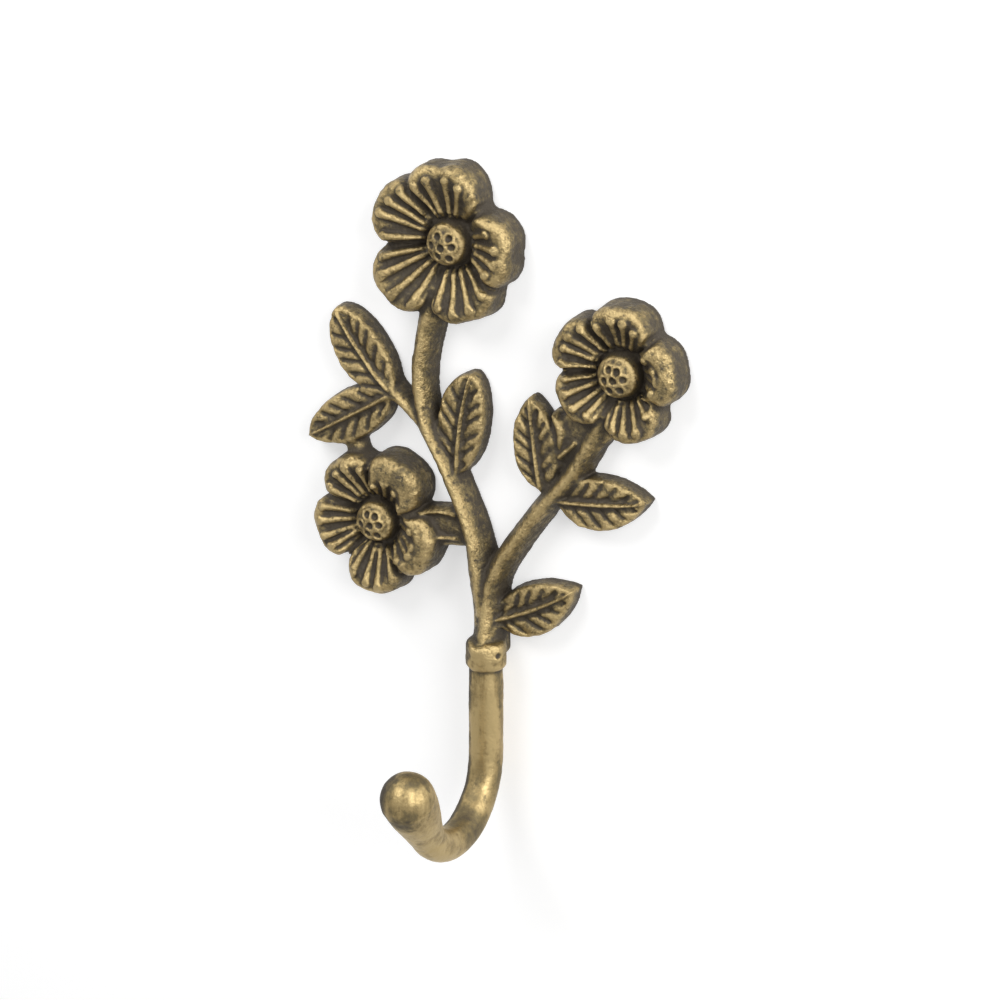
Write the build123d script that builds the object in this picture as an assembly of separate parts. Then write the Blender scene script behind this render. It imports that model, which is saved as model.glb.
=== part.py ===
"""Decorative wall hook, cast in one piece of brass: a spray of three flowers and six leaves over a J arm."""
from build123d import *
from math import cos, radians, sin, sqrt
import os

# The casting is worked out lying on its back, as it leaves its mould, in mm:
# x runs to the right, y up the wall and z off the wall, with the lower fixing hole at the origin.

# Hook arm: a square rod with broken corners, bent to a J after casting, whose tip swells into a ball
ROD_SIZE = 8.3
ROD_CORNER = 2.2
ROD_OFF_WALL = 6.1
STRAIGHT_LENGTH = 25.4
BEND_RADIUS = 15.8
BEND_ANGLE = 146.7
TIP_LENGTH = 14.8
BALL_RADIUS = 6.5

# Collar: an eight-sided barrel where the trunk turns into the rod
COLLAR_CENTRE = -12.9
COLLAR_HEIGHT = 7.6
COLLAR_SIZE = 10.4
COLLAR_CORNER = 3.2

# Stems: each station is (x, y, width, height off the wall)
MAIN_STEM = [
    (-0.6, -14.0, 8.2, 8.0),
    (-0.8, -4.0, 8.2, 8.0),
    (-2.2, 5.0, 8.0, 8.0),
    (-4.5, 16.2, 6.8, 7.6),
    (-10.1, 29.0, 6.4, 7.4),
    (-15.6, 39.0, 6.2, 7.2),
    (-17.9, 50.5, 6.4, 7.0),
    (-16.6, 61.0, 6.8, 7.0),
    (-13.5, 73.0, 9.0, 6.6),
]
RIGHT_BRANCH = [
    (0.2, -14.0, 6.6, 8.2),
    (0.2, -2.0, 6.6, 8.2),
    (1.6, 6.0, 6.6, 8.2),
    (5.7, 13.6, 6.6, 7.8),
    (13.5, 24.8, 6.4, 7.4),
    (21.5, 34.6, 6.4, 7.0),
    (28.4, 48.0, 6.6, 6.6),
]
LEAF_TWIGS = [
    [(-14.5, 37.0, 5.6, 6.0), (-21.0, 43.2, 5.4, 5.8), (-28.0, 49.5, 6.4, 5.2)],
    [(-19.5, 43.0, 4.6, 5.4), (-25.5, 45.3, 4.4, 5.2), (-31.0, 43.4, 5.6, 4.8)],
]
# Webs of metal tie the lower left flower to the stem and to the leaf above it,
# and one more backs the edge of the right flower
WEBS = [
    [(-17.0, 14.0, 9.0, 5.6), (-5.0, 15.0, 9.0, 5.2)],
    [(-34.6, 25.0, 5.8, 5.2), (-37.4, 36.0, 5.8, 4.6)],
    [(15.6, 39.0, 9.0, 4.6), (25.0, 46.5, 11.0, 5.0)],
]

# Leaves: (stalk end, tip, width to the left and to the right of the line between them, how blunt the tip is)
LEAF_HEIGHT = 5.8
LEAF_RIM = 1.9
LEAF_RECESS = 1.2
MIDRIB_SIZE = 1.6
VEIN_SIZE = 1.15
VEINS_PER_SIDE = 5
LEAVES = [
    ((-25.0, 45.8), (-40.4, 65.4), 8.4, 5.6, 0.84),
    ((-25.5, 46.0), (-48.8, 32.2), 6.6, 6.2, 0.84),
    ((-8.2, 28.8), (-4.4, 54.4), 7.8, 5.2, 0.84),
    ((13.4, 28.0), (10.2, 51.4), 6.4, 6.0, 0.76),
    ((16.4, 27.2), (40.4, 30.4), 6.0, 7.6, 0.7),
    ((0.6, -5.2), (22.4, 6.4), 5.4, 7.6, 0.7),
]

# Flowers: the centre, then five petals as (direction in degrees, reach to the rim, petal radius)
FLOWER_HEIGHT = 9.6
PETAL_SIDES = 14
PETAL_CHAMFER = 1.1
PETAL_DRAFT = 0.5
PETAL_RIM = 2.4
CUP_DEPTH = 2.6
BOWL_DEPTH = 3.4
SEED_HEAD_RADIUS = 5.2
SEED_HEAD_HEIGHT = 8.8
SEED_HEAD_SIDES = 10
SEED_DIMPLE_RADIUS = 0.8
SEED_DIMPLES = 5
STAMEN_ROOT = 0.6
STAMEN_END = 1.5
STAMENS_PER_PETAL = 4
STAMEN_SPACING = 14.5
CREASE_SIZE = 1.4
FLOWERS = [
    ((-9.8, 84.0), [(95, 19.1, 10), (155, 20.1, 8.8), (219, 21.6, 9), (288, 19.0, 9.0), (356, 17.5, 9.2)]),
    ((33.0, 59.5), [(88, 16.6, 8.2), (152, 17.2, 7.8), (212, 16.6, 7.6), (290, 16.0, 7.4), (370, 15.2, 8.2)]),
    ((-29.3, 14.8), [(63, 18.4, 8.4), (125, 17.8, 7.7), (194, 17, 8.4), (270, 18.6, 7.8), (336, 17.4, 8.7)]),
]

# Two blind holes in the back, tapped M4, take the studs that hold the hook to the wall
FIXING_TAP_RADIUS = 1.65
FIXING_HOLE_DEPTH = 5.0
FIXING_HOLES = [(0.0, 0.0), FLOWERS[0][0]]


def skin(*rings):
    """A solid with flat sides between rings of as many points each."""
    faces = [Face(Wire.make_polygon(ring)) for ring in (rings[0], rings[-1])]
    for low, high in zip(rings, rings[1:]):
        for i in range(len(low)):
            faces.append(Face(Wire.make_polygon([low[i - 1], low[i], high[i], high[i - 1]])))
    return Solid(Shell(faces))


def stack(sides, *rings):
    """A many-sided turned solid, through (radius, height) rings."""
    turns = [radians(360 * i / sides) for i in range(sides)]
    circle = [(cos(turn), sin(turn)) for turn in turns]
    return skin(*[[(radius * x, radius * y, height) for x, y in circle] for radius, height in rings])


def ridge(start, end, start_size, end_size):
    """A square bar standing on its edge between two points: it shows as a sharp ridge or cuts a groove."""
    run = (Vector(*end) - Vector(*start)).normalized()
    across = run.cross(Vector(0, 0, 1)).normalized()
    rings = []
    for point, size in ((start, start_size), (end, end_size)):
        centre = Vector(*point)
        half = size / sqrt(2)
        up = across.cross(run)
        rings.append([centre + across * half, centre + up * half, centre - across * half, centre - up * half])
    return skin(*rings)


def rod_ring(size, corner, centre, along):
    """The corners of a square with its own corners cut off, square to a run in the x = 0 plane."""
    across = Vector(1, 0, 0)
    up = Vector(*along).normalized().cross(across)
    half, flat = size / 2, size / 2 - corner
    outline = [(half, -flat), (half, flat), (flat, half), (-flat, half)]
    outline += [(-u, -v) for u, v in outline]
    return [Vector(*centre) + across * u + up * v for u, v in outline]


def hook_arm():
    """The J: a swept rod, then a straight tip that swells into the ball."""
    straight = Line((COLLAR_CENTRE, ROD_OFF_WALL), (COLLAR_CENTRE - STRAIGHT_LENGTH, ROD_OFF_WALL))
    bend = JernArc(straight @ 1, straight % 1, BEND_RADIUS, -BEND_ANGLE)
    path = Plane.YZ * (straight + bend)
    arm = sweep(Face(Wire.make_polygon(rod_ring(ROD_SIZE, ROD_CORNER, path @ 0, path % 0))), path)
    end, along = path @ 1, path % 1
    rings = []
    for reach, share in ((0, 0), (0.5, 0.3), (0.85, 0.75)):
        size = ROD_SIZE + share * (2 * BALL_RADIUS - ROD_SIZE)
        rings.append(rod_ring(size, size * ROD_CORNER / ROD_SIZE, end + along * reach * TIP_LENGTH, along))
    ball = Plane(origin=end + along * TIP_LENGTH, z_dir=along) * Sphere(BALL_RADIUS)
    return arm + skin(*rings) + ball


def collar():
    """The band, widest half way up."""
    rings = []
    for reach, share in ((-0.5, 0.84), (-0.2, 1), (0.2, 1), (0.5, 0.84)):
        centre = (0, COLLAR_CENTRE + reach * COLLAR_HEIGHT, ROD_OFF_WALL)
        rings.append(rod_ring(share * COLLAR_SIZE, share * COLLAR_CORNER, centre, (0, 1, 0)))
    return skin(*rings)


def stem(stations):
    """A stem with a flat back and a narrow flat ridge, through sections square to its run."""
    sections = []
    for i, (x, y, width, height) in enumerate(stations):
        before = stations[max(i - 1, 0)]
        after = stations[min(i + 1, len(stations) - 1)]
        along = Vector(after[0] - before[0], after[1] - before[1], 0)
        across = Vector(-along.Y, along.X, 0)
        outline = [(-0.5, 0), (0.5, 0), (0.46, 0.5), (0.2, 1), (-0.2, 1), (-0.46, 0.5)]
        section = Polyline([(width * u, height * v) for u, v in outline], close=True)
        sections.append(Plane(origin=(x, y, 0), x_dir=across, z_dir=along) * make_face(section))
    return loft(sections)


def leaf_side(length, width, blunt, inset):
    """One edge of a leaf in the leaf's own plane, from the stalk to the tip."""
    bulge = 4 / 3 * (abs(width) - inset) * (1 if width > 0 else -1)
    end = length - 1.7 * inset
    return Bezier((inset, 0), (0.12 * length, bulge), (blunt * end, bulge), (end, 0))


def leaf(base, tip, left, right, blunt):
    """A pointed oval with sloping shoulders, a sunk face, a midrib and slanting side veins."""
    run = Vector(*tip) - Vector(*base)
    length = run.length

    def outline(inset, height):
        sides = leaf_side(length, left, blunt, inset) + leaf_side(length, -right, blunt, inset)
        return Pos(0, 0, height) * make_face(sides)

    shoulder = LEAF_HEIGHT - 0.8 * LEAF_RIM
    floor = LEAF_HEIGHT - LEAF_RECESS
    body = loft([outline(0, 0), outline(0.2, shoulder), outline(0.7 * LEAF_RIM, LEAF_HEIGHT)], ruled=True)
    body -= loft([outline(1.5 * LEAF_RIM, floor), outline(LEAF_RIM, LEAF_HEIGHT + 0.2)], ruled=True)

    bend = (left - right) / 2
    midrib = Bezier((0, 0), (0.2 * length, bend), (0.6 * length, bend), (length, 0))
    points = [midrib @ along for along in (0, 0.3, 0.6, 0.93)]
    lines = [(start, end, MIDRIB_SIZE) for start, end in zip(points, points[1:])]
    for width in (left, -right):
        side = leaf_side(length, width, blunt, 0.9 * LEAF_RIM)
        for i in range(VEINS_PER_SIDE):
            along = 0.1 + 0.62 * i / (VEINS_PER_SIDE - 1)
            lines.append((midrib @ along, side @ (along + 0.2), VEIN_SIZE))
    veins = []
    for start, end, size in lines:
        veins.append(ridge((start.X, start.Y, floor), (end.X, end.Y, floor), size, size))
    return Plane(origin=base, x_dir=run) * body.fuse(*veins)


def seed_head():
    """The dimpled button in the middle of a flower."""
    r, top = SEED_HEAD_RADIUS, SEED_HEAD_HEIGHT
    head = stack(SEED_HEAD_SIDES, (r, 0), (r, top - 1.9), (0.76 * r, top - 0.5), (0.3 * r, top))
    dimple = Pos(0.52 * r, 0, top - 1.0) * extrude(RegularPolygon(SEED_DIMPLE_RADIUS, 6), 2)
    dimples = [Rotation(0, 0, (i + 0.25) * 360 / SEED_DIMPLES) * dimple for i in range(SEED_DIMPLES)]
    return head.cut(*dimples)


def flower(centre, petals):
    """Five cupped petals with stamens, creases between them and a dimpled seed head."""
    top = FLOWER_HEIGHT
    blanks = []
    cuts = []
    stamens = []
    for direction, reach, radius in petals:
        petal = Rotation(0, 0, direction) * Pos(reach - radius, 0, 0)
        face = radius - PETAL_DRAFT
        side = (radius, 0), (face, top - PETAL_CHAMFER), (face - PETAL_CHAMFER, top)
        blanks.append(petal * stack(PETAL_SIDES, *side))
        lip = radius - PETAL_RIM
        cuts.append(petal * stack(PETAL_SIDES, (0.45 * lip, top - CUP_DEPTH), (lip, top + 0.1)))
        for i in range(STAMENS_PER_PETAL):
            turn = Rotation(0, 0, direction + (i - (STAMENS_PER_PETAL - 1) / 2) * STAMEN_SPACING)
            inner = (0.9 * SEED_HEAD_RADIUS, 0, top - BOWL_DEPTH + 0.2)
            outer = (reach - PETAL_RIM - 1.6, 0, top - 0.5 * CUP_DEPTH)
            stamens.append(turn * ridge(inner, outer, STAMEN_ROOT, STAMEN_END))
    longest = max(reach for direction, reach, radius in petals)
    bowl = min(reach for direction, reach, radius in petals) - 1.5 * PETAL_RIM
    cuts.append(stack(PETAL_SIDES, (0.4 * bowl, top - BOWL_DEPTH), (bowl, top + 0.1)))
    directions = [direction for direction, reach, radius in petals]
    for here, there in zip(directions, directions[1:] + [directions[0] + 360]):
        crease = ridge((0, 0, top - BOWL_DEPTH), (longest, 0, top + 0.6), CREASE_SIZE, CREASE_SIZE)
        cuts.append(Rotation(0, 0, (here + there) / 2) * crease)
    body = blanks[0].fuse(*blanks[1:]).cut(*cuts).fuse(seed_head(), *stamens)
    return Pos(*centre) * body


def casting():
    """The whole hook, drilled and stood up against the wall."""
    parts = [hook_arm(), collar()]
    parts += [stem(stations) for stations in [MAIN_STEM, RIGHT_BRANCH] + LEAF_TWIGS + WEBS]
    parts += [leaf(*sizes) for sizes in LEAVES]
    parts += [flower(*sizes) for sizes in FLOWERS]
    whole = parts[0]
    for piece in parts[1:]:
        whole += piece
    for x, y in FIXING_HOLES:
        whole -= Pos(x, y, 0) * Cylinder(FIXING_TAP_RADIUS, 2 * FIXING_HOLE_DEPTH)
    return Plane.XZ * whole


os.makedirs("parts", exist_ok=True)
export_step(casting(), "parts/hook_casting.step")
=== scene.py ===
"""Decorative wall hook: a spray of three flowers and six leaves over a J arm, one antique brass casting."""

import bpy
import numpy as np
from math import cos, radians, sin
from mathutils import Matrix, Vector


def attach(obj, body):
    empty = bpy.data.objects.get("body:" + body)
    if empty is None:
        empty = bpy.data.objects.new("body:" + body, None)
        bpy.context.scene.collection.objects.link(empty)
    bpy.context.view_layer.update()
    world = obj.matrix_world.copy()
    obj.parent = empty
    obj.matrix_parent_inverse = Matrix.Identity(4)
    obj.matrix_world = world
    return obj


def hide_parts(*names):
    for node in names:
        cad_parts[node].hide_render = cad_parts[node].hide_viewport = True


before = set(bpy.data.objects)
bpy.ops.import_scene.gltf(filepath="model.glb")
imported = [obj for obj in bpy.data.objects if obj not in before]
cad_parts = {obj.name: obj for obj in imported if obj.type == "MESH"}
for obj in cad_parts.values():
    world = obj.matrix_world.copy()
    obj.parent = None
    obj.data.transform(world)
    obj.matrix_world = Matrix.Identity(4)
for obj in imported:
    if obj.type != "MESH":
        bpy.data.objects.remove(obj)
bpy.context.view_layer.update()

# Studio: the hook lies against a matt white board and is seen from its right and a little above.
# A large soft lamp stands on the right and a weaker one hangs high on the left. The white room fills the
# rest: it lights things less than it shows in the metal.
AZIMUTH = radians(28)
ELEVATION = radians(20)
CAMERA_DISTANCE = 0.65
CAMERA_AIM = Vector((-0.0041, 0.0086, 0.0196))
ROOM_LIGHT = 0.42
BOARD_SIZE = 0.9
BOARD_GAP = 0.0004
BOARD_WHITE = "#d8d8d8"
BOARD_LIFT = 0.51
# Each lamp is (name, azimuth and elevation in degrees, distance in m, size in m, power in W).
LAMPS = [
    ("right_lamp", 68, 26, 0.9, 0.8, 8.0),
    ("left_lamp", -28, 50, 0.9, 0.6, 4.5),
]


def direction_out(azimuth, elevation):
    """The direction from the hook to something that stands in front of it."""
    return Vector((sin(azimuth) * cos(elevation), -cos(azimuth) * cos(elevation), sin(elevation)))


def aim(thing, place, target):
    """Puts a lamp or the camera in its place and turns it to its target."""
    thing.location = place
    thing.rotation_euler = (target - place).to_track_quat("-Z", "Y").to_euler()
    bpy.context.collection.objects.link(thing)


def add_node(tree, kind, inputs=(), **settings):
    """Adds a shader node. Settings are its properties or inputs, and inputs pairs an input with a source."""
    node = tree.nodes.new(kind)
    for name, value in settings.items():
        if hasattr(node, name):
            setattr(node, name, value)
        else:
            node.inputs[name.replace("_", " ")].default_value = value
    for place, source in inputs:
        if isinstance(source, bpy.types.NodeSocket):
            tree.links.new(source, node.inputs[place])
        else:
            node.inputs[place].default_value = source
    return node


def linear(hex_colour):
    """An sRGB hex colour as linear red, green, blue and alpha."""
    parts = [int(hex_colour[i:i + 2], 16) / 255 for i in (1, 3, 5)]
    return [p / 12.92 if p <= 0.04045 else ((p + 0.055) / 1.055) ** 2.4 for p in parts] + [1]


def seen_share(tree):
    """1 for the rays by which the camera, metal or glass sees a surface, and 0 for those that light it."""
    path = add_node(tree, "ShaderNodeLightPath")
    metal_too = add_node(tree, "ShaderNodeMath", [
        (0, path.outputs["Is Camera Ray"]), (1, path.outputs["Is Glossy Ray"])], operation="MAXIMUM")
    return add_node(tree, "ShaderNodeMath", [
        (0, metal_too.outputs[0]), (1, path.outputs["Is Transmission Ray"])], operation="MAXIMUM").outputs[0]


camera = bpy.data.objects.new("camera", bpy.data.cameras.new("camera"))
camera.data.lens = 100
camera.data.sensor_width = 36
aim(camera, CAMERA_AIM + CAMERA_DISTANCE * direction_out(AZIMUTH, ELEVATION), CAMERA_AIM)
bpy.context.scene.camera = camera

for name, azimuth, elevation, distance, size, power in LAMPS:
    lamp = bpy.data.objects.new(name, bpy.data.lights.new(name, "AREA"))
    lamp.data.shape = "DISK"
    lamp.data.size = size
    lamp.data.energy = power
    aim(lamp, CAMERA_AIM + distance * direction_out(radians(azimuth), radians(elevation)), CAMERA_AIM)

world = bpy.data.worlds.new("white_room")
bpy.context.scene.world = world
world.use_nodes = True
tree = world.node_tree
tree.nodes.clear()
level = add_node(tree, "ShaderNodeMapRange", [("Value", seen_share(tree))], To_Min=ROOM_LIGHT, To_Max=1.0)
room = add_node(tree, "ShaderNodeBackground", [("Strength", level.outputs["Result"])])
add_node(tree, "ShaderNodeOutputWorld", [("Surface", room.outputs["Background"])])

board_paint = bpy.data.materials.new("matt_white_board")
board_paint.use_nodes = True
tree = board_paint.node_tree
tree.nodes.clear()
matt = add_node(tree, "ShaderNodeBsdfDiffuse", Color=linear(BOARD_WHITE))
lift = add_node(tree, "ShaderNodeEmission", [("Strength", seen_share(tree))],
                Color=(BOARD_LIFT, BOARD_LIFT, BOARD_LIFT, 1))
lifted = add_node(tree, "ShaderNodeAddShader", [(0, matt.outputs[0]), (1, lift.outputs[0])])
clear = add_node(tree, "ShaderNodeBsdfTransparent")
behind = add_node(tree, "ShaderNodeNewGeometry")
one_sided = add_node(tree, "ShaderNodeMixShader",
                     [(0, behind.outputs["Backfacing"]), (1, lifted.outputs[0]), (2, clear.outputs[0])])
add_node(tree, "ShaderNodeOutputMaterial", [("Surface", one_sided.outputs[0])])
half = BOARD_SIZE / 2
corners = [(x, BOARD_GAP, z) for x, z in ((-half, -half), (half, -half), (half, half), (-half, half))]
board_mesh = bpy.data.meshes.new("board")
board_mesh.from_pydata(corners, [], [(0, 1, 2, 3)])
board_mesh.materials.append(board_paint)
board = bpy.data.objects.new("board", board_mesh)
bpy.context.collection.objects.link(board)

# The pattern: before it is cast, the hook is one carved pattern, held as a block of distances to its skin in
# mm, less than 0 inside the metal. Each form is melted in with the soft fillet that a sand mould leaves.
# It lies on its back: x runs to the right, y up the wall, z off the wall, from the lower fixing hole.
CELL = 0.3
BLOCK_LOW = np.array((-54.0, -61.0, -0.9))
BLOCK_HIGH = np.array((51.5, 105.5, 51.0))
FAR = 4.0
RELIEF_TOP = 11.1
MOULD_DRAFT = 0.05
block = np.full(np.ceil((BLOCK_HIGH - BLOCK_LOW) / CELL).astype(int) + 1, FAR, np.float32)


def open_window(low, high):
    """The slices of the block between two corners, and the x, y and z of their cells."""
    first = np.maximum(np.floor((np.array(low) - BLOCK_LOW) / CELL), 0).astype(int)
    last = np.minimum(np.ceil((np.array(high) - BLOCK_LOW) / CELL) + 1, block.shape).astype(int)
    axes = [(BLOCK_LOW[i] + CELL * np.arange(first[i], last[i])).astype(np.float32) for i in range(3)]
    return tuple(map(slice, first, last)), *np.meshgrid(*axes, indexing="ij", sparse=True)


def melt(one, other, fillet):
    """Two forms as one, with a fillet where they meet."""
    near = np.maximum(fillet - np.abs(one - other), 0)
    return np.minimum(one, other) - near * near / (4 * fillet)


def rise(value, start, end):
    """A smooth rise from 0 to 1."""
    share = np.clip((value - start) / (end - start), 0, 1)
    return share * share * (3 - 2 * share)


def hump(value, width):
    """A soft bump of height 1 about 0."""
    return np.exp(-(value / width) ** 2)


def carve_relief(low, high, form, edge, fillet):
    """Melts a relief into the block. The form gives its outline's distance and its height at each x and y."""
    window, x, y, z = open_window((*low, BLOCK_LOW[2]), (*high, RELIEF_TOP))
    outline, height = form(x, y)
    slope_x, slope_y = np.gradient(height[..., 0], CELL)
    lean = 1 / np.sqrt(1 + slope_x ** 2 + slope_y ** 2)
    top = (z - height) * lean[..., None]
    side = outline + MOULD_DRAFT * z
    block[window] = melt(block[window], -melt(-top, -side, edge), fillet)


def near_line(points, x, y):
    """For each x and y: the distance to a line of points, and its place along the line."""
    best = np.full(np.broadcast(x, y).shape, np.inf, np.float32)
    place = np.zeros_like(best)
    for i, ((ax, ay), (bx, by)) in enumerate(zip(points, points[1:])):
        run_x, run_y = bx - ax, by - ay
        share = np.clip(((x - ax) * run_x + (y - ay) * run_y) / (run_x ** 2 + run_y ** 2), 0, 1)
        distance = np.hypot(x - ax - share * run_x, y - ay - share * run_y)
        closer = distance < best
        best = np.where(closer, distance, best)
        place = np.where(closer, i + share, place)
    return best, place


# Hook arm: a square rod with broken corners, bent to a J off the wall. Its tip swells into a ball,
# where a coat's loop rests, and it was dressed smoother than the spray.
ROD_SIZE = 8.3
ROD_CORNER = 2.2
ROD_SOFTNESS = 1.4
ROD_OFF_WALL = 6.1
ROD_TOP = -12.9
BEND_START = -38.3
BEND_RADIUS = 15.8
BEND_ANGLE = radians(146.7)
TIP_LENGTH = 14.8
TIP_SOFTNESS = 2.0
# The tip starts to swell, and then to turn round, at these shares of its length.
SWELL_START = -0.3
ROUND_START = 0.2
BALL_RADIUS = 6.45
BALL_FILLET = 0.3
OVERLAP = 1.0
ARM_ROOM = 9.0


def rod_section(across, up, size, corner, soft):
    """A square with broken corners, as the distance to its soft outline."""
    flats = -melt(size / 2 - across, size / 2 - up, soft)
    broken = (across + up - size + corner) / 2 ** 0.5
    return -melt(-flats, -broken, soft)


window, x, y, z = open_window((-ARM_ROOM, BLOCK_LOW[1], BLOCK_LOW[2]),
                              (ARM_ROOM, ROD_TOP + 2 * OVERLAP, BLOCK_HIGH[2]))
straight = np.maximum(rod_section(abs(x), abs(z - ROD_OFF_WALL), ROD_SIZE, ROD_CORNER, ROD_SOFTNESS),
                      np.maximum(y - ROD_TOP, BEND_START - y) - OVERLAP)
hub_height = ROD_OFF_WALL + BEND_RADIUS
reach = np.hypot(y - BEND_START, z - hub_height)
turn = np.arctan2(BEND_START - y, hub_height - z)
bend = np.maximum(rod_section(abs(x), abs(reach - BEND_RADIUS), ROD_SIZE, ROD_CORNER, ROD_SOFTNESS),
                  np.maximum(-turn, turn - BEND_ANGLE) * reach - OVERLAP)
tip_y = BEND_START - BEND_RADIUS * sin(BEND_ANGLE)
tip_z = hub_height - BEND_RADIUS * cos(BEND_ANGLE)
along = (z - tip_z) * sin(BEND_ANGLE) - (y - tip_y) * cos(BEND_ANGLE)
aside = (z - tip_z) * cos(BEND_ANGLE) + (y - tip_y) * sin(BEND_ANGLE)
size = ROD_SIZE + (2 * BALL_RADIUS - ROD_SIZE) * rise(along, SWELL_START * TIP_LENGTH, TIP_LENGTH)
round_share = rise(along, ROUND_START * TIP_LENGTH, TIP_LENGTH)
tip = rod_section(abs(x), abs(aside), size, size * ROD_CORNER / ROD_SIZE, TIP_SOFTNESS) * (1 - round_share)
tip = tip + (np.hypot(x, aside) - size / 2) * round_share
tip = np.maximum(tip, np.maximum(-along - OVERLAP, along - TIP_LENGTH))
ball = np.sqrt(x ** 2 + (along - TIP_LENGTH) ** 2 + aside ** 2) - BALL_RADIUS
arm = np.minimum(np.minimum(straight, bend), melt(tip, ball, BALL_FILLET))
block[window] = np.minimum(block[window], arm)

# Collar: an eight-sided barrel cast where the trunk turns into the rod. Its top edge dips where the trunk's
# ridge runs onto it.
COLLAR_SIZE = 10.3
COLLAR_CORNER = 3.2
COLLAR_SOFTNESS = 1.2
COLLAR_HEIGHT = 7.6
COLLAR_TAPER = 0.1
COLLAR_EDGE = 1.4
COLLAR_FILLET = 0.3
DIP_DEPTH = 0.7
DIP_WIDTH = 1.6
DIP_PLACE = -0.5

window, x, y, z = open_window((-ARM_ROOM, ROD_TOP - ARM_ROOM, BLOCK_LOW[2]),
                              (ARM_ROOM, ROD_TOP + ARM_ROOM, ROD_OFF_WALL + ARM_ROOM))
level = y - ROD_TOP
barrel = COLLAR_SIZE * (1 - COLLAR_TAPER * np.abs(2 * level / COLLAR_HEIGHT) ** 4)
dip = DIP_DEPTH * hump(x - DIP_PLACE, DIP_WIDTH) * (level > 0) * (z > ROD_OFF_WALL)
ends = np.abs(level) - COLLAR_HEIGHT / 2 + dip
collar = rod_section(abs(x), abs(z - ROD_OFF_WALL), barrel, COLLAR_CORNER, COLLAR_SOFTNESS)
collar = -melt(-collar, -ends, COLLAR_EDGE)
block[window] = melt(block[window], collar, COLLAR_FILLET)

# Stems: one trunk above the collar forks into the main stem and the right branch. Each has a flat back, a
# ridge that handling keeps bright, which climbs to meet the collar, and sloping sides. Webs of metal tie the
# flowers on, and bars were cast on two of them. Each station is (x, y, width, height off the wall).
MAIN_STEM = [
    (-0.6, -12.0, 8.2, 9.6),
    (-0.8, -4.0, 8.2, 8.0),
    (-2.2, 5.0, 8.0, 8.0),
    (-4.5, 16.2, 6.8, 7.6),
    (-10.1, 29.0, 6.4, 7.4),
    (-15.6, 39.0, 6.2, 7.2),
    (-17.9, 50.5, 6.4, 7.0),
    (-16.6, 61.0, 6.8, 7.0),
    (-13.5, 73.0, 8.6, 6.6),
]
RIGHT_BRANCH = [
    (0.2, -12.0, 6.6, 9.4),
    (0.2, -2.0, 6.6, 8.2),
    (1.6, 6.0, 6.6, 8.2),
    (5.7, 13.6, 6.6, 7.8),
    (13.5, 24.8, 6.4, 7.4),
    (21.5, 34.6, 6.4, 7.0),
    (28.4, 48.0, 6.6, 6.6),
]
LEAF_TWIGS = [
    [(-14.5, 37.0, 5.2, 6.0), (-21.0, 43.2, 5.0, 5.8), (-28.0, 49.5, 5.4, 5.2)],
    [(-19.5, 43.0, 4.4, 5.4), (-25.5, 45.3, 4.2, 5.2), (-31.0, 43.4, 4.6, 4.8)],
]
WEBS = [
    [(-17.0, 14.8, 10.6, 5.2), (-7.8, 16.0, 10.2, 5.0)],
    [(-34.6, 25.0, 5.8, 5.2), (-37.4, 36.0, 5.8, 4.6)],
    [(15.6, 38.0, 10.0, 4.8), (25.0, 46.0, 12.0, 5.2)],
]
WEB_BARS = [
    [(16.6, 47.4, 2.8, 6.0), (18.4, 44.2, 4.2, 6.2), (18.2, 40.0, 2.6, 6.0)],
    [(18.4, 38.2, 3.0, 6.5), (22.1, 41.7, 2.8, 6.5)],
    [(23.2, 38.6, 2.8, 6.6), (25.6, 42.0, 2.6, 6.4)],
    [(-17.5, 18.4, 3.2, 6.4), (-13.5, 19.4, 2.6, 6.0), (-9.0, 19.6, 3.2, 6.4)],
    [(-16.0, 13.2, 3.0, 6.6), (-8.5, 13.6, 2.6, 6.2)],
]
# Each front falls to shoulders that high, as a share of its height, in a curve of that power.
SHOULDERS = [(0.5, [MAIN_STEM, RIGHT_BRANCH]), (0.55, LEAF_TWIGS), (0.85, WEBS), (0.8, WEB_BARS)]
FRONT_CURVE = 1.6
STEM_EDGE = 1.6
STEM_FILLET = 0.9
STATION_STEPS = 8
CARVING_ROOM = 4.0


def smooth_run(stations):
    """The stations with smooth steps between them, by Catmull and Rom's curve."""
    run = np.array([stations[0]] + list(stations) + [stations[-1]], float)
    points = []
    for before, start, end, after in zip(run, run[1:], run[2:], run[3:]):
        for share in np.arange(STATION_STEPS) / STATION_STEPS:
            swing = (end - before) * share + (2 * before - 5 * start + 4 * end - after) * share ** 2
            swing += (3 * start - before - 3 * end + after) * share ** 3
            points.append(start + swing / 2)
    return np.array(points + [run[-1]])


def add_stem(stations, shoulder):
    """Carves a stem through its stations, with a rounded front that falls to its shoulders."""
    run = smooth_run(stations)

    def form(x, y):
        away, place = near_line(run[:, :2], x, y)
        steps = np.arange(len(run))
        width = np.interp(place, steps, run[:, 2])
        height = np.interp(place, steps, run[:, 3])
        share = np.minimum(2 * away / width, 1.0)
        return away - width / 2, height * (1 - (1 - shoulder) * share ** FRONT_CURVE)

    room = run[:, 2].max() / 2 + CARVING_ROOM
    carve_relief(run[:, :2].min(0) - room, run[:, :2].max(0) + room, form, STEM_EDGE, STEM_FILLET)


for shoulder, stems in SHOULDERS:
    for stations in stems:
        add_stem(stations, shoulder)

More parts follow.
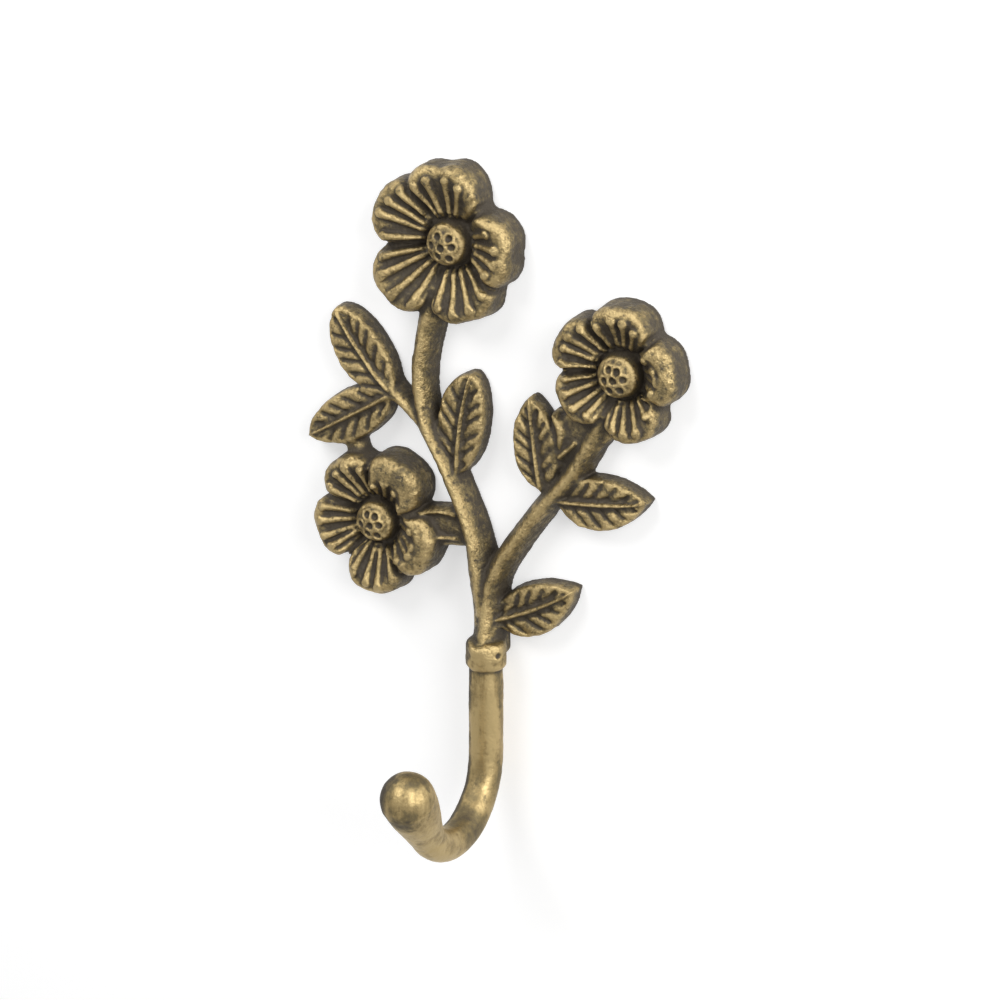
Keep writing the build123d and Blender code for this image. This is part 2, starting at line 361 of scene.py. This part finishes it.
# Leaves: pointed ovals with a raised rim, a rounded midrib and pillows of metal between slanting grooves.
# Each is (stalk end, tip, width to the left and to the right of the line between them, the tip's bluntness).
LEAVES = [
    ((-25.0, 45.8), (-40.4, 65.4), 8.4, 5.6, 0.9),
    ((-25.5, 46.0), (-48.8, 32.2), 6.6, 6.2, 0.84),
    ((-8.2, 28.8), (-4.4, 54.4), 7.8, 5.2, 0.92),
    ((13.4, 28.0), (10.2, 51.4), 6.4, 6.0, 0.76),
    ((16.4, 27.2), (40.4, 30.4), 6.0, 7.6, 0.7),
    ((0.6, -5.2), (22.4, 6.4), 5.4, 7.6, 0.7),
]
LEAF_TOP = 5.8
LEAF_FLOOR = 4.6
LEAF_RIM = 1.5
LEAF_EDGE = 2.2
STALK_BLUNT = 0.12
EDGE_STEPS = 24
SWAY = 1.5
MIDRIB_HEIGHT = 1.5
MIDRIB_WIDTH = 0.9
MIDRIB_TAPER = 0.35
GROOVE_DEPTH = 0.35
GROOVE_WIDTH = 0.4
GROOVE_OFF_RIB = 1.4
PILLOW = 0.85
PILLOW_CURVE = 0.6
VEIN_PITCH = 0.15
VEIN_SLANT = 0.22
VEIN_UNEVENNESS = 0.12
# The pillows rise over these shares of the way from the rib to the rim and from the stalk to the tip, and
# they sink again at the tip.
RISE_FROM_RIB = (0.03, 0.25)
RISE_FROM_STALK = (0.02, 0.2)
SINK_TO_TIP = (0.85, 1.0)


def add_leaf(base, tip, left, right, blunt, chance):
    """Carves a leaf. Its edge is a curve of two halves, and its pillows are as uneven as handwork."""
    base = np.array(base)
    run = np.array(tip) - base
    length = np.hypot(*run)
    run = run / length
    step = np.linspace(0, 1, EDGE_STEPS)
    reach = 3 * STALK_BLUNT * step * (1 - step) ** 2 + 3 * blunt * step ** 2 * (1 - step) + step ** 3
    bulge = 4 * step * (1 - step)
    veins = np.arange(-4, 12)
    uneven = chance.normal(0, VEIN_UNEVENNESS, len(veins))

    def place(along, across):
        return np.stack([base[0] + along * run[0] - across * run[1],
                         base[1] + along * run[1] + across * run[0]], -1)

    edge = np.concatenate([place(reach * length, left * bulge), place(reach * length, -right * bulge)[::-1]])

    def form(x, y):
        along = ((x - base[0]) * run[0] + (y - base[1]) * run[1]) / length
        across = (y - base[1]) * run[0] - (x - base[0]) * run[1]
        half = np.where(across > 0, left, right) * np.interp(along, reach, bulge, 0, 0)
        away = near_line(edge, x, y)[0]
        outline = np.where(np.abs(across) < half, -away, away)
        sway = (left - right) * SWAY * along * (1 - along)
        off_rib = across - sway
        half_face = np.maximum(half - np.sign(off_rib) * sway, 0.5)
        share = np.abs(off_rib) / half_face
        phase = (along - VEIN_SLANT * share) / VEIN_PITCH + 0.5 * (off_rib > 0)
        phase = phase + np.interp(phase, veins, uneven)
        pillow = np.abs(np.sin(np.pi * phase)) ** PILLOW_CURVE
        pillow = pillow * rise(share, *RISE_FROM_RIB) * rise(along, *RISE_FROM_STALK)
        height = LEAF_FLOOR + PILLOW * pillow * (1 - rise(along, *SINK_TO_TIP))
        rim = 1 - rise(-outline, 0.5 * LEAF_RIM, 1.5 * LEAF_RIM)
        height = height + (LEAF_TOP - height) * rim
        rib = MIDRIB_HEIGHT * hump(off_rib, MIDRIB_WIDTH - MIDRIB_TAPER * along)
        height = np.maximum(height, LEAF_FLOOR + rib)
        groove = GROOVE_DEPTH * hump(np.abs(off_rib) - GROOVE_OFF_RIB, GROOVE_WIDTH)
        return outline, height - groove * (1 - rim)

    carve_relief(edge.min(0) - CARVING_ROOM, edge.max(0) + CARVING_ROOM, form, LEAF_EDGE, STEM_FILLET)


chance = np.random.default_rng(5)
for leaf in LEAVES:
    add_leaf(*leaf, chance)

# Flowers: five petals cupped to a thick rolled rim. Four ribs a petal climb from the seed head to beads under
# the rim, with dark valleys between them. Each petal is (direction in degrees, reach, radius, notch in its
# rim, width of its rim): the petals on the right of each flower roll over into a wide plain rim.
FLOWERS = [
    ((-9.8, 84.0), [
        (95, 19.1, 10.0, 0.9, 2.2),
        (155, 20.1, 8.8, 0, 1.5),
        (219, 21.6, 9.0, 0, 1.4),
        (288, 19.0, 9.0, 0.3, 1.5),
        (356, 17.5, 9.2, 0.4, 2.8),
    ]),
    ((33.0, 59.5), [
        (88, 16.6, 8.2, 0, 2.2),
        (152, 17.2, 7.8, 0, 1.4),
        (212, 16.6, 7.6, 0, 1.4),
        (290, 16.0, 7.4, 0, 1.5),
        (370, 15.0, 8.2, 0, 4.0),
    ]),
    ((-29.3, 14.8), [
        (63, 18.4, 8.4, 0, 6.0),
        (125, 17.8, 7.7, 0, 1.5),
        (194, 17.0, 8.4, 0, 1.4),
        (270, 18.6, 7.8, 0, 1.5),
        (336, 17.4, 8.7, 0, 4.6),
    ]),
]
FLOWER_TOP = 9.5
FLOWER_EDGE = 3.4
FLOWER_MIDDLE = 8.8
BOWL_FLOOR = 5.3
BOWL_CURVE = (0.05, 1.15)
SQUARENESS = 2.5
PETAL_FILLET = 1.6
NOTCH_WIDTH = 3.0
CREASE_DEPTH = 1.6
CREASE_WIDTH = 0.8
RIM_WAVE = 0.3
RIM_WAVES = 9
RIM_WAVE_PLACE = 2.2
RIM_WAVE_WIDTH = 1.6
RIBS = 4
RIB_SPACING = 15.0
RIB_HEIGHT = 1.3
RIB_WIDTH = 0.5
RIB_SPREAD = 0.05
RIB_CURVE = 0.7
RIB_TURN = 1.6
RIB_GROWTH = 0.5
RIB_STRENGTH = (0.75, 1.1)
BEAD_RADIUS = 1.35
BEAD_HEIGHT = 1.15
BEAD_BELOW_RIM = 1.6
SEED_HEAD = 5.5
SEED_HEAD_TOP = 8.8
SEED_HEAD_DOME = 0.06
SEED_HEAD_DROP = 2.4
SEED_HEAD_WALL = (-0.9, 0.3)
MOAT_DEPTH = 0.9
MOAT_WIDTH = 0.5
DIMPLES = 7
DIMPLE_RADIUS = 0.65
DIMPLE_DEPTH = 0.65
DIMPLE_CENTRE = (-0.2, -0.5)
DIMPLE_RING = (2.2, 3.0)
DIMPLE_TURN = 12
# The rim of a dimple is (height, radius, width).
DIMPLE_RIM = (0.4, 1.1, 0.35)


def edge_reach(swing, reach, radius):
    """How far from the flower's centre a petal's rim is, in a direction that swings from the petal's own."""
    middle = reach - radius
    return middle * np.cos(swing) + np.sqrt(np.maximum(radius ** 2 - (middle * np.sin(swing)) ** 2, 1))


def petal_face(far, along, across, reach, radius, rolled, chance):
    """The height of a petal: its bowl climbs to the rolled rim, under waves, ribs and beads."""
    swing = np.arctan2(across, along)
    rim = edge_reach(swing, reach, radius)
    climb = rise((far - SEED_HEAD) / np.maximum(rim - rolled - SEED_HEAD, 1.5), *BOWL_CURVE)
    wave = RIM_WAVE * np.sin(RIM_WAVES * swing + chance.uniform(0, 6))
    wave = wave * hump(far - rim + RIM_WAVE_PLACE, RIM_WAVE_WIDTH)
    face = BOWL_FLOOR + (FLOWER_TOP - BOWL_FLOOR) * climb + wave
    for i in range(RIBS):
        lean = radians((i - (RIBS - 1) / 2) * RIB_SPACING + chance.normal(0, RIB_TURN))
        end = edge_reach(lean, reach, radius) - rolled - BEAD_BELOW_RIM + chance.normal(0, RIB_GROWTH)
        strength = RIB_HEIGHT * chance.uniform(*RIB_STRENGTH)
        out, off = far * np.cos(swing - lean), far * np.sin(swing - lean)
        bar = np.clip(1 - (off / (RIB_WIDTH + RIB_SPREAD * out)) ** 2, 0, 1) ** RIB_CURVE
        bar = bar * rise(end + 0.8 - out, 0, 1) * (along > 0)
        bead = np.clip(1 - ((out - end) ** 2 + off ** 2) / BEAD_RADIUS ** 2, 0, 1) ** RIB_CURVE
        face = face + strength * np.maximum(bar, BEAD_HEIGHT * bead)
    return face


def seed_head(u, v, far, chance):
    """The height of the domed seed head, with a dimple in its middle and the others in a ring."""
    head = SEED_HEAD_TOP - SEED_HEAD_DOME * far ** 2
    head = head - SEED_HEAD_DROP * rise(far, SEED_HEAD + SEED_HEAD_WALL[0], SEED_HEAD + SEED_HEAD_WALL[1])
    rim_height, rim_radius, rim_width = DIMPLE_RIM
    for i in range(DIMPLES):
        turn = radians(60 * i + chance.uniform(-DIMPLE_TURN, DIMPLE_TURN))
        off = 0.0 if i == 0 else chance.uniform(*DIMPLE_RING)
        dimple = np.hypot(u - DIMPLE_CENTRE[0] - off * cos(turn), v - DIMPLE_CENTRE[1] - off * sin(turn))
        head = head + rim_height * hump(dimple - rim_radius, rim_width)
        head = head - DIMPLE_DEPTH * hump(dimple, DIMPLE_RADIUS)
    return np.maximum(head, BOWL_FLOOR - MOAT_DEPTH)


def add_flower(centre, petals, chance):
    """Carves a flower: the petal whose outline is nearest gives the height, and creases part the petals."""
    centre = np.array(centre)

    def form(x, y):
        u, v = x - centre[0], y - centre[1]
        far = np.hypot(u, v)
        outline = far - FLOWER_MIDDLE
        nearest = np.full_like(far, np.inf)
        height = np.full_like(far, BOWL_FLOOR)
        for direction, reach, radius, notch, rolled in petals:
            turn = radians(direction)
            along, across = u * cos(turn) + v * sin(turn), v * cos(turn) - u * sin(turn)
            disc = np.abs(along - reach + radius) ** SQUARENESS + np.abs(across) ** SQUARENESS
            disc = disc ** (1 / SQUARENESS) - radius + notch * hump(across, NOTCH_WIDTH) * (along > 0)
            outline = melt(outline, disc, PETAL_FILLET)
            face = petal_face(far, along, across, reach, radius, rolled, chance)
            height = np.where(disc < nearest, face, height)
            nearest = np.minimum(nearest, disc)
        directions = [petal[0] for petal in petals]
        for here, there in zip(directions, directions[1:] + [directions[0] + 360]):
            turn = radians((here + there) / 2)
            along, across = u * cos(turn) + v * sin(turn), v * cos(turn) - u * sin(turn)
            crease = CREASE_DEPTH * hump(across, CREASE_WIDTH)
            height = height - crease * rise(along, SEED_HEAD, SEED_HEAD + 2)
        height = np.minimum(height, FLOWER_TOP)
        height = height - MOAT_DEPTH * hump(far - SEED_HEAD - 0.7, MOAT_WIDTH)
        return outline, np.where(far < SEED_HEAD + 0.4, seed_head(u, v, far, chance), height)

    room = max(petal[1] for petal in petals) + CARVING_ROOM
    carve_relief(centre - room, centre + room, form, FLOWER_EDGE, STEM_FILLET)


chance = np.random.default_rng(7)
for flower in FLOWERS:
    add_flower(*flower, chance)

# The casting: sand leaves its skin a little uneven, and dressing takes some of that off the arm. The back
# is ground flat and drilled for two wall studs, and a casting pore shows on the collar's right side.
# The block's skin becomes the mesh, one vertex in each cell that it passes through.
MM = 0.001
# Each unevenness is (size, depth). The dressed arm keeps that share of it, below the heights where the
# spray starts.
UNEVENNESS = ((5.0, 0.25), (1.6, 0.2), (0.8, 0.16))
DRESSED = 0.45
SPRAY_STARTS = (-24, -12)
BACK_GROUND = 0.005
FIXING_HOLES = [(0.0, 0.0), (-9.8, 84.0)]
FIXING_HOLE_RADIUS = 1.65
FIXING_HOLE_DEPTH = 5.0
HOLE_ROOM = 2.0
PORE_PLACE = (4.7, -12.1, 8.2)
PORE_RADIUS = 0.75
PORE_FILLET = 0.3
MOST_TRIANGLES = 195000
CUBE = [(i, j, k) for i in (0, 1) for j in (0, 1) for k in (0, 1)]


def lumps(size, chance):
    """Soft random lumps of height 0 to 1 over the whole block, each about that big."""
    values = chance.random(np.ceil(np.array(block.shape) * CELL / size).astype(int) + 2).astype(np.float32)
    for axis in range(3):
        place = np.arange(block.shape[axis]) * CELL / size
        first = place.astype(int)
        share = rise(place - first, 0, 1).astype(np.float32)[:, None, None]
        values = values[first] * (1 - share) + values[first + 1] * share
        values = np.moveaxis(values, 0, 2)
    return values


spray_share = rise(BLOCK_LOW[1] + CELL * np.arange(block.shape[1]), *SPRAY_STARTS).astype(np.float32)
kept_share = DRESSED + (1 - DRESSED) * spray_share[None, :, None]
for size, depth in UNEVENNESS:
    block += depth * lumps(size, chance) * kept_share
window, x, y, z = open_window(BLOCK_LOW, (BLOCK_HIGH[0], BLOCK_HIGH[1], RELIEF_TOP))
block[window] = np.maximum(block[window], BACK_GROUND - z)
for hole_x, hole_y in FIXING_HOLES:
    room = FIXING_HOLE_RADIUS + HOLE_ROOM
    window, x, y, z = open_window((hole_x - room, hole_y - room, BLOCK_LOW[2]),
                                  (hole_x + room, hole_y + room, FIXING_HOLE_DEPTH + HOLE_ROOM))
    hole = np.maximum(np.hypot(x - hole_x, y - hole_y) - FIXING_HOLE_RADIUS, z - FIXING_HOLE_DEPTH)
    block[window] = np.maximum(block[window], -hole)
window, x, y, z = open_window(np.array(PORE_PLACE) - HOLE_ROOM, np.array(PORE_PLACE) + HOLE_ROOM)
pore = np.sqrt((x - PORE_PLACE[0]) ** 2 + (y - PORE_PLACE[1]) ** 2 + (z - PORE_PLACE[2]) ** 2) - PORE_RADIUS
block[window] = -melt(-block[window], pore, PORE_FILLET)


def skin(block):
    """The points and four-sided faces of the block's skin."""
    metal = (block < 0).astype(np.uint8)
    count = np.zeros(np.array(block.shape) - 1, np.uint8)
    for corner in CUBE:
        count += metal[tuple(slice(c, c + n) for c, n in zip(corner, count.shape))]
    cells = np.argwhere((count > 0) & (count < len(CUBE)))
    depth = {corner: block[tuple((cells + corner).T)] for corner in CUBE}
    total = np.zeros(cells.shape)
    crossings = np.zeros(len(cells))
    for corner in CUBE:
        for axis in range(3):
            if corner[axis]:
                continue
            other = tuple(c + (i == axis) for i, c in enumerate(corner))
            crossed = (depth[corner] < 0) != (depth[other] < 0)
            gap = np.where(crossed, depth[corner] - depth[other], 1)
            point = np.tile(np.array(corner, float), (len(cells), 1))
            point[:, axis] += np.where(crossed, depth[corner] / gap, 0)
            total += point * crossed[:, None]
            crossings += crossed
    points = (cells + total / crossings[:, None]) * CELL + BLOCK_LOW
    strides = np.array((count.shape[1] * count.shape[2], count.shape[2], 1))
    order = cells @ strides
    faces = []
    for axis in range(3):
        other = tuple(int(i == axis) for i in range(3))
        start, end = depth[0, 0, 0] < 0, depth[other] < 0
        back, down = strides[(axis + 1) % 3], strides[(axis + 2) % 3]
        crossed = np.flatnonzero(start != end)
        around = [order[crossed] - step for step in (0, back, back + down, down)]
        quads = np.stack([np.searchsorted(order, cell) for cell in around], 1)
        quads[~start[crossed]] = quads[~start[crossed]][:, ::-1]
        faces.append(quads)
    return points, np.concatenate(faces)


points, faces = skin(block)
mesh = bpy.data.meshes.new("brass_casting")
mesh.vertices.add(len(points))
mesh.vertices.foreach_set("co", (points[:, (0, 2, 1)] * (MM, -MM, MM)).ravel())
mesh.loops.add(faces.size)
mesh.loops.foreach_set("vertex_index", faces.ravel())
mesh.polygons.add(len(faces))
mesh.polygons.foreach_set("loop_start", np.arange(0, faces.size, 4))
mesh.update(calc_edges=True)
mesh.validate()
casting = bpy.data.objects.new("brass_casting", mesh)
bpy.context.collection.objects.link(casting)
thin = casting.modifiers.new("thin", "DECIMATE")
thin.ratio = min(1, MOST_TRIANGLES / (2 * len(faces)))
thinned = bpy.data.meshes.new_from_object(casting.evaluated_get(bpy.context.evaluated_depsgraph_get()))
casting.modifiers.clear()
casting.data = thinned
thinned.name = "brass_casting_skin"
thinned.shade_smooth()

# Where the metal is hollow the patina stays, and where it stands proud hands rub it bright. Each vertex keeps
# how much metal lies around it, within a rib's width and within a petal's rim: over half is a hollow.
# Nothing rubs the edge against the wall, so it keeps its stain, which fades over the heights of WALL_EDGE.
HOLLOW_REACH = {"hollow_fine": 0.8, "hollow_broad": 2.4}
WALL_EDGE_STAIN = 0.58
WALL_EDGE = (0.5, 4.5)
co = np.empty(3 * len(thinned.vertices), np.float32)
thinned.vertices.foreach_get("co", co)
places = co.reshape(-1, 3)[:, (0, 2, 1)] * (1 / MM, 1 / MM, -1 / MM)
height = places[:, 2]
places = (places - BLOCK_LOW) / CELL
cell = np.clip(np.floor(places).astype(int), 0, np.array(block.shape) - 2)
share = places - cell
for name, reach in HOLLOW_REACH.items():
    metal = np.clip(0.5 - block / CELL, 0, 1).astype(np.float32)
    steps = max(1, round(reach / CELL))
    for axis in range(3):
        sums = np.cumsum(metal, axis=axis, dtype=np.float32)
        ahead = np.take(sums, np.minimum(np.arange(sums.shape[axis]) + steps, sums.shape[axis] - 1), axis)
        behind = np.take(sums, np.maximum(np.arange(sums.shape[axis]) - steps - 1, 0), axis)
        metal = (ahead - behind) / (2 * steps + 1)
    hollow = np.zeros(len(places))
    for corner in CUBE:
        weight = np.prod(np.where(corner, share, 1 - share), axis=1)
        hollow += weight * metal[tuple((cell + corner).T)]
    hollow = np.maximum(hollow, WALL_EDGE_STAIN * (1 - rise(height, *WALL_EDGE)))
    values = thinned.attributes.new(name, "FLOAT", "POINT")
    values.data.foreach_set("value", hollow.astype(np.float32))

# Finish: sand-cast brass, stained dark brown, then rubbed back so that rims, ribs and ridges show olive gold.
# The stain is a rough oxide that kills the shine, and it stays in the hollows and on the walls of the relief.
# The rubbed metal keeps a satin grain with dark pores, and the dressed arm is smoother and more even.
# Painted shade rides on the same stain: faces turned to the left, most of all on the arm and collar, and the
# left, top and lower front of the ball are darkened.
CLOUD_SIZE = 5.0
GRIT_SIZE = 0.7
PORE_SIZE = 1.1
STREAK_SIZE = 1.6
STREAK_SHORTENING = 0.14
TONES = [(0.0, "#b39e71"), (0.22, "#9a875f"), (0.45, "#786b4d"),
         (0.68, "#5b513e"), (0.85, "#4c4436"), (1.0, "#433b2f")]
FULL_STAIN = 1.5
GRIT_DEPTH = 0.4
ARM_ROUGHER = 0.1
ARM_GRIT = 0.3
# Each patch is (centre in m, radius in m, strength). More than 0 is darker, as heavier stain or, on the
# ball's left, top and lower front, as painted shade; less is rubbed barer.
PATCHES = {
    "inside_the_bend": ((0.0025, -0.0190, -0.0510), 0.0075, 0.8),
    "above_the_bend": ((0.001, -0.0125, -0.0440), 0.0070, 0.35),
    "under_the_collar": ((-0.003, -0.0102, -0.021), 0.006, 0.3),
    # Painted shade on the ball: its left, top and lower front edges are darkened where a lit round form turns
    # away from the light.
    "painted_shade_ball_left": ((-0.0045, -0.0458, -0.0290), 0.0060, 0.6),
    "painted_shade_ball_top": ((0.0025, -0.0425, -0.0282), 0.0050, 0.6),
    "painted_shade_ball_lower_front": ((0.0012, -0.0478, -0.0380), 0.0045, 0.6),
    "whole_ball": ((0.0, -0.0445, -0.0335), 0.0110, 0.5),
    "rubbed_above_the_collar": ((0.0015, -0.0085, -0.0070), 0.0050, -0.45),
    "casting_pore": ((0.0047, -0.0084, -0.0121), 0.0009, 1.5),
}
brass = bpy.data.materials.new("antique_cast_brass")
brass.use_nodes = True
tree = brass.node_tree
tree.nodes.clear()
where = add_node(tree, "ShaderNodeTexCoord").outputs["Object"]
fine = add_node(tree, "ShaderNodeAttribute", attribute_name="hollow_fine").outputs["Fac"]
broad = add_node(tree, "ShaderNodeAttribute", attribute_name="hollow_broad").outputs["Fac"]
normal = add_node(tree, "ShaderNodeNewGeometry").outputs["Normal"]
facing = add_node(tree, "ShaderNodeSeparateXYZ", [("Vector", normal)])
to_right, to_wall = facing.outputs["X"], facing.outputs["Y"]
place = add_node(tree, "ShaderNodeSeparateXYZ", [("Vector", where)])
off_wall, up_wall = place.outputs["Y"], place.outputs["Z"]
drawn_out = add_node(tree, "ShaderNodeMapping", [("Vector", where), ("Scale", (1, 1, STREAK_SHORTENING))])
clouds = add_node(tree, "ShaderNodeTexNoise", [("Vector", where)],
                  Scale=1 / (CLOUD_SIZE * MM), Detail=4, Roughness=0.6).outputs["Fac"]
grit = add_node(tree, "ShaderNodeTexNoise", [("Vector", where)],
                Scale=1 / (GRIT_SIZE * MM), Detail=3, Roughness=0.7).outputs["Fac"]
pores = add_node(tree, "ShaderNodeTexNoise", [("Vector", where)],
                 Scale=1 / (PORE_SIZE * MM), Detail=2, Roughness=0.5).outputs["Fac"]
streaks = add_node(tree, "ShaderNodeTexNoise", [("Vector", drawn_out.outputs["Vector"])],
                   Scale=1 / (STREAK_SIZE * MM), Detail=3).outputs["Fac"]


def product(*shares):
    """The product of shares, each (what it follows, two values of that, the share at or beyond each)."""
    result = 1.0
    for source, low, high, start, end in shares:
        share = add_node(tree, "ShaderNodeMapRange", [("Value", source)],
                         From_Min=low, From_Max=high, To_Min=start, To_Max=end)
        result = add_node(tree, "ShaderNodeMath", [(0, share.outputs["Result"]), (1, result)],
                          operation="MULTIPLY").outputs[0]
    return result


# What adds to the stain and the painted shade, or takes from them where the share is less than 0. Heights are
# in m.
arm = (up_wall, -0.007, -0.015)
stains_and_painted_shade = {
    "fine_hollows": product((fine, 0.42, 0.58, 0.0, 1.0)),
    "broad_hollows": product((broad, 0.38, 0.72, 0.0, 0.65)),
    "walls_of_the_relief": product((to_wall, -0.75, -0.15, 0.0, 0.4),
                                   (off_wall, -0.0125, -0.0075, 0.0, 1.0)),
    # Painted shade: faces that turn to the left are darker, most of all on the arm and collar below the
    # spray, as if the light came from the right.
    "painted_shade_facing_left": product((to_right, -0.35, -0.65, 0.0, 1.0), (up_wall, -0.006, -0.010, 0.25, 1.3),
                         (clouds, 0.3, 0.6, 0.6, 1.0)),
    "ground_back": product((to_wall, 0.5, 0.9, 0.0, -0.7)),
    "dressed_arm": product((*arm, 0.0, -0.54)),
    "clouds": product((clouds, 0.35, 0.65, -0.2, 0.4)),
    "grit": product((grit, 0.35, 0.65, -0.22, 0.22), (*arm, 1.0, 0.35)),
    "pores": product((pores, 0.42, 0.33, 0.0, 0.45), (*arm, 1.0, 0.35)),
    "streaks_on_the_straight": product((streaks, 0.35, 0.65, -0.22, 0.22), (*arm, 0.0, 1.0),
                                       (up_wall, -0.044, -0.034, 0.0, 1.0)),
}
for name, (centre, radius, strength) in PATCHES.items():
    off = add_node(tree, "ShaderNodeVectorMath", [(0, where), (1, centre)], operation="DISTANCE")
    ragged = add_node(tree, "ShaderNodeMath", [
        (0, off.outputs["Value"]), (1, product((clouds, 0.3, 0.7, -0.5 * radius, 0.5 * radius)))])
    stains_and_painted_shade[name] = product((ragged.outputs[0], radius, 0.4 * radius, 0.0, strength))
stain_and_painted_shade = 0.0
for share in stains_and_painted_shade.values():
    stain_and_painted_shade = add_node(tree, "ShaderNodeMath", [(0, share), (1, stain_and_painted_shade)]).outputs[0]
# How dark the finish is, from the stain and the painted shade together.
depth = product((stain_and_painted_shade, 0.0, FULL_STAIN, 0.0, 1.0))
tone = add_node(tree, "ShaderNodeValToRGB", [("Fac", depth)])
ramp = tone.color_ramp
for step, (position, colour) in enumerate(TONES):
    if step in (0, len(TONES) - 1):
        ramp.elements[-1 if step else 0].color = linear(colour)
    else:
        ramp.elements.new(position).color = linear(colour)
rough = add_node(tree, "ShaderNodeMath", [
    (0, product((depth, 0.1, 0.9, 0.34, 0.60))), (1, product((*arm, 0.0, ARM_ROUGHER)))])
metallic = product((depth, 0.35, 1.0, 1.0, 0.3))
bump = add_node(tree, "ShaderNodeBump", [
    ("Height", grit), ("Strength", product((*arm, 1.0, ARM_GRIT)))], Distance=GRIT_DEPTH * MM)
surface = add_node(tree, "ShaderNodeBsdfPrincipled", [
    ("Base Color", tone.outputs[0]), ("Roughness", rough.outputs[0]), ("Metallic", metallic),
    ("Normal", bump.outputs[0])])
add_node(tree, "ShaderNodeOutputMaterial", [("Surface", surface.outputs[0])])
thinned.materials.clear()
thinned.materials.append(brass)
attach(casting, "root")
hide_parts("hook_casting")

bpy.context.scene.view_settings.view_transform = "Standard"
